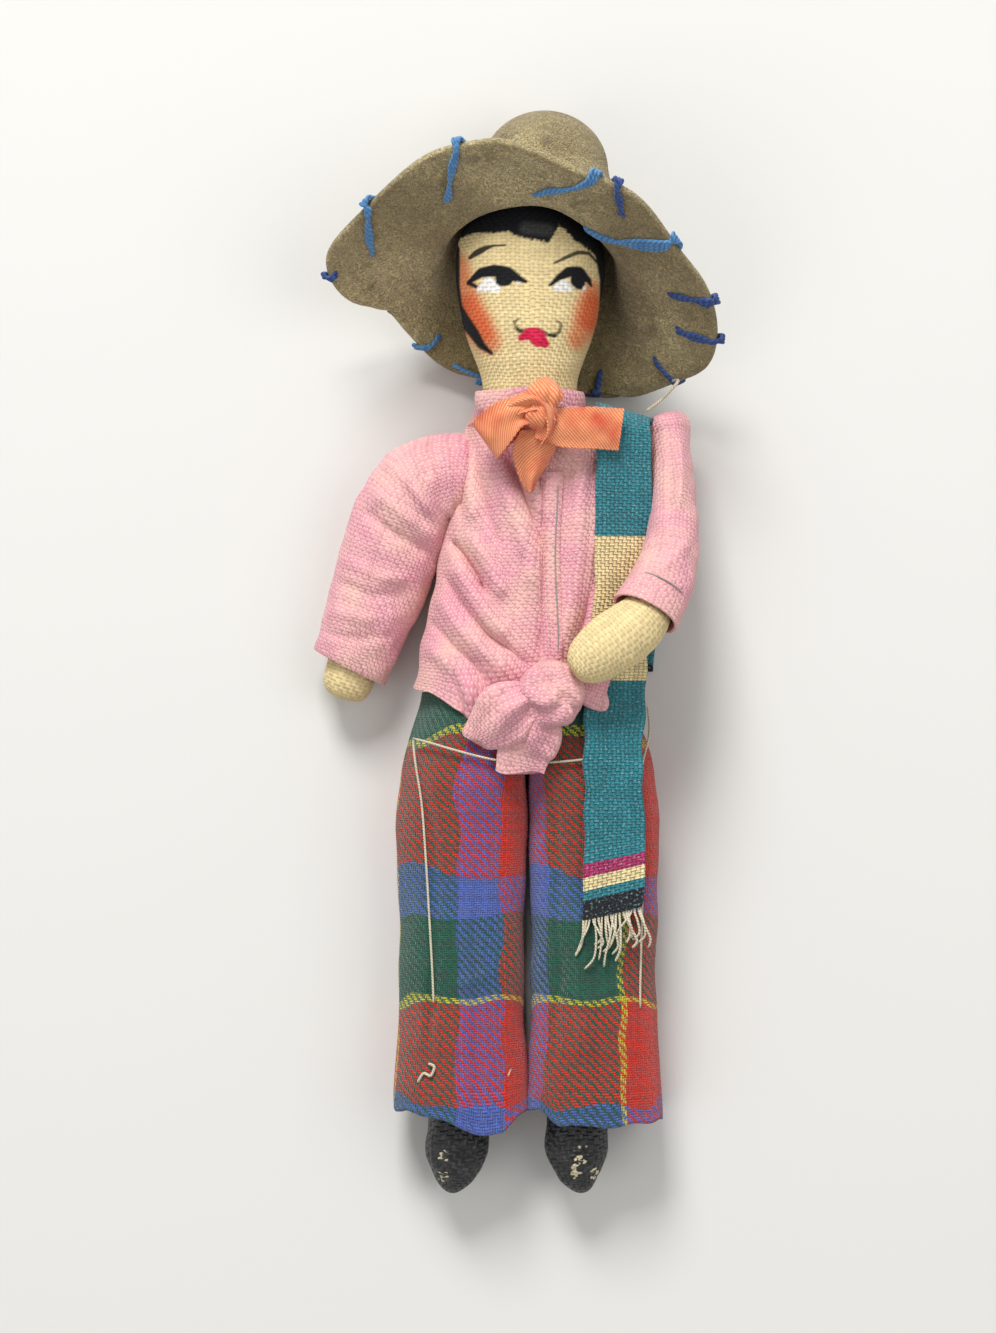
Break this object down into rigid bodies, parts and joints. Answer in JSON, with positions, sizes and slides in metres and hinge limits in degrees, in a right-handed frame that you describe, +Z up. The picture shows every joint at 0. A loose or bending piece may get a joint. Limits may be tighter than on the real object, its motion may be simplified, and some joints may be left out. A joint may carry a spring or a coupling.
{
  "type": "cloth folk doll",
  "caption": "Stuffed cloth folk doll lying on its back, with a felt hat, tied shirt, plaid trousers and shoulder sarape.",
  "frame": {"origin": "centre of the underside's box, on the table that the doll lies on", "axes": "+Y from the toes to the hat, +Z up out of the chest, +X to the doll's left"},
  "size_m": [0.0684, 0.1816, 0.0377],
  "materials": {
    "muslin": "plain-woven cotton, stuffed",
    "black_paint": "black paint on cloth, worn through in flecks",
    "felt": "pressed wool felt",
    "blue_yarn": "wool yarn",
    "pink_gauze": "open-weave cotton gauze",
    "plaid_wool": "plaid wool twill",
    "striped_wool": "hand-woven striped wool",
    "rayon_ribbon": "rayon ribbon with a low sheen",
    "cotton_thread": "cotton thread"
  },
  "bodies": {
    "trunk": {"head_and_neck": "muslin", "torso": "muslin", "shirt_body": "pink_gauze", "collar_band": "pink_gauze", "placket": "pink_gauze", "trouser_seat": "plaid_wool", "felt_hat": "felt", "brim_stitch_1": "blue_yarn", "brim_stitch_2": "blue_yarn", "brim_stitch_3": "blue_yarn", "brim_stitch_4": "blue_yarn", "brim_stitch_5": "blue_yarn", "brim_stitch_6": "blue_yarn", "brim_stitch_7": "blue_yarn", "brim_stitch_8": "blue_yarn", "brim_stitch_9": "blue_yarn", "brim_stitch_10": "blue_yarn", "brim_stitch_11": "blue_yarn", "brim_stitch_12": "blue_yarn", "shirt_knot": "pink_gauze", "shirt_tail_right": "pink_gauze", "shirt_tail_left": "pink_gauze", "sarape": "striped_wool", "bow_knot": "rayon_ribbon", "bow_loop": "rayon_ribbon", "bow_tail_right": "rayon_ribbon", "bow_tail_lower": "rayon_ribbon", "tack_thread": "cotton_thread"},
    "right_arm": {"right_sleeve_upper": "pink_gauze", "right_upper_arm": "muslin"},
    "right_forearm": {"right_sleeve_lower": "pink_gauze", "right_forearm_and_hand": "muslin"},
    "left_arm": {"left_sleeve": "pink_gauze", "left_upper_arm": "muslin"},
    "left_forearm": {"left_forearm_and_hand": "muslin"},
    "right_lower": {"right_trouser_leg": "plaid_wool", "right_leg": "muslin", "right_boot": "black_paint", "right_seam_thread": "cotton_thread"},
    "left_lower": {"left_trouser_leg": "plaid_wool", "left_leg": "muslin", "left_boot": "black_paint", "left_seam_thread": "cotton_thread", "sarape_lower": "striped_wool", "sarape_fringe": "striped_wool"}
  },
  "joints": [
    {"name": "right_shoulder", "type": "hinge", "parent": "trunk", "child": "right_arm", "pos_m": [-0.01611, 0.03344, 0.0084], "axis": [-0.9813, 0.1923, 0], "range_deg": [0, 80]},
    {"name": "right_elbow", "type": "hinge", "parent": "right_arm", "child": "right_forearm", "pos_m": [-0.02256, 0.01418, 0.0133], "axis": [-0.9468, 0.3217, 0], "range_deg": [0, 60]},
    {"name": "left_shoulder", "type": "hinge", "parent": "trunk", "child": "left_arm", "pos_m": [0.02599, 0.03344, 0.0098], "axis": [-1, 0, 0], "range_deg": [0, 60]},
    {"name": "left_elbow", "type": "hinge", "parent": "left_arm", "child": "left_forearm", "pos_m": [0.02489, 0.00544, 0.022], "axis": [0, 0, 1], "range_deg": [0, 45]},
    {"name": "right_hip", "type": "hinge", "parent": "trunk", "child": "right_lower", "pos_m": [-0.00981, -0.02056, 0.0178], "axis": [-1, 0, 0], "range_deg": [0, 60]},
    {"name": "left_hip", "type": "hinge", "parent": "trunk", "child": "left_lower", "pos_m": [0.01239, -0.02056, 0.0178], "axis": [-1, 0, 0], "range_deg": [0, 60]}
  ]
}
